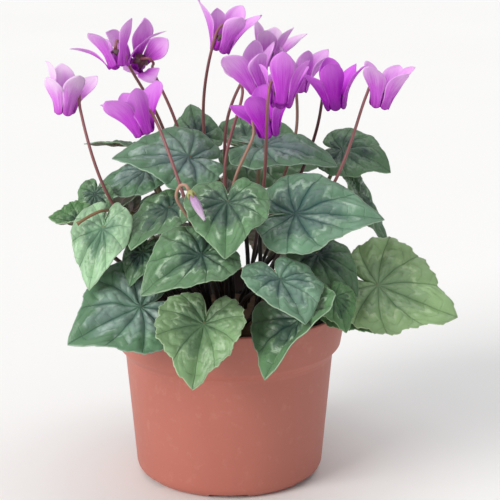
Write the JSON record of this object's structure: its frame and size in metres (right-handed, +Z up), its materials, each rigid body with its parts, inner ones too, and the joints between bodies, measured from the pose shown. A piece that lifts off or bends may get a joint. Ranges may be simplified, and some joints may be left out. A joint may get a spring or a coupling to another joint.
{
  "type": "potted cyclamen",
  "caption": "Potted cyclamen: round plastic pot with a collar, compost, corm, marbled heart-shaped leaves and nodding pink blooms with swept-back petals.",
  "frame": {"origin": "middle of the pot's underside, on the surface that it stands on", "axes": "+Z up out of the pot, -Y towards the plant's front, +X to the viewer's right"},
  "size_m": [0.2024, 0.1898, 0.2424],
  "materials": {
    "pot": "matte",
    "compost": "rough",
    "corm": "rough",
    "leaf": "satin",
    "petal": "satin",
    "stalk": "satin",
    "faded_petal": "matte",
    "spent_stalk": "matte"
  },
  "bodies": {
    "root": {"pot": "pot", "compost": "compost", "corm": "corm", "leaf_01": "leaf", "leaf_02": "leaf", "leaf_03": "leaf", "leaf_04": "leaf", "leaf_05": "leaf", "leaf_06": "leaf", "leaf_07": "leaf", "leaf_08": "leaf", "leaf_09": "leaf", "leaf_10": "leaf", "leaf_11": "leaf", "leaf_12": "leaf", "leaf_13": "leaf", "leaf_14": "leaf", "leaf_15": "leaf", "leaf_16": "leaf", "leaf_17": "leaf", "leaf_18": "leaf", "leaf_19": "leaf", "leaf_20": "leaf", "leaf_21": "leaf", "leaf_22": "leaf", "leaf_23": "leaf", "leaf_24": "leaf", "leaf_25": "leaf", "leaf_26": "leaf", "leaf_27": "leaf", "leaf_28": "leaf", "leaf_29": "leaf", "leaf_30": "leaf", "bloom_01_petals": "petal", "bloom_01_stalk": "stalk", "bloom_02_petals": "petal", "bloom_02_stalk": "stalk", "bloom_03_petals": "petal", "bloom_03_stalk": "stalk", "bloom_04_petals": "petal", "bloom_04_stalk": "stalk", "bloom_05_petals": "petal", "bloom_05_stalk": "stalk", "bloom_06_petals": "petal", "bloom_06_stalk": "stalk", "bloom_07_petals": "petal", "bloom_07_stalk": "stalk", "bloom_08_petals": "petal", "bloom_08_stalk": "stalk", "bloom_09_petals": "petal", "bloom_09_stalk": "stalk", "bloom_10_petals": "petal", "bloom_10_stalk": "stalk", "bloom_11_petals": "petal", "bloom_11_stalk": "stalk", "bloom_12_petals": "petal", "bloom_12_stalk": "stalk", "bud_petals": "faded_petal", "bud_stalk": "stalk", "spent_stalk": "spent_stalk"}
  },
  "joints": []
}
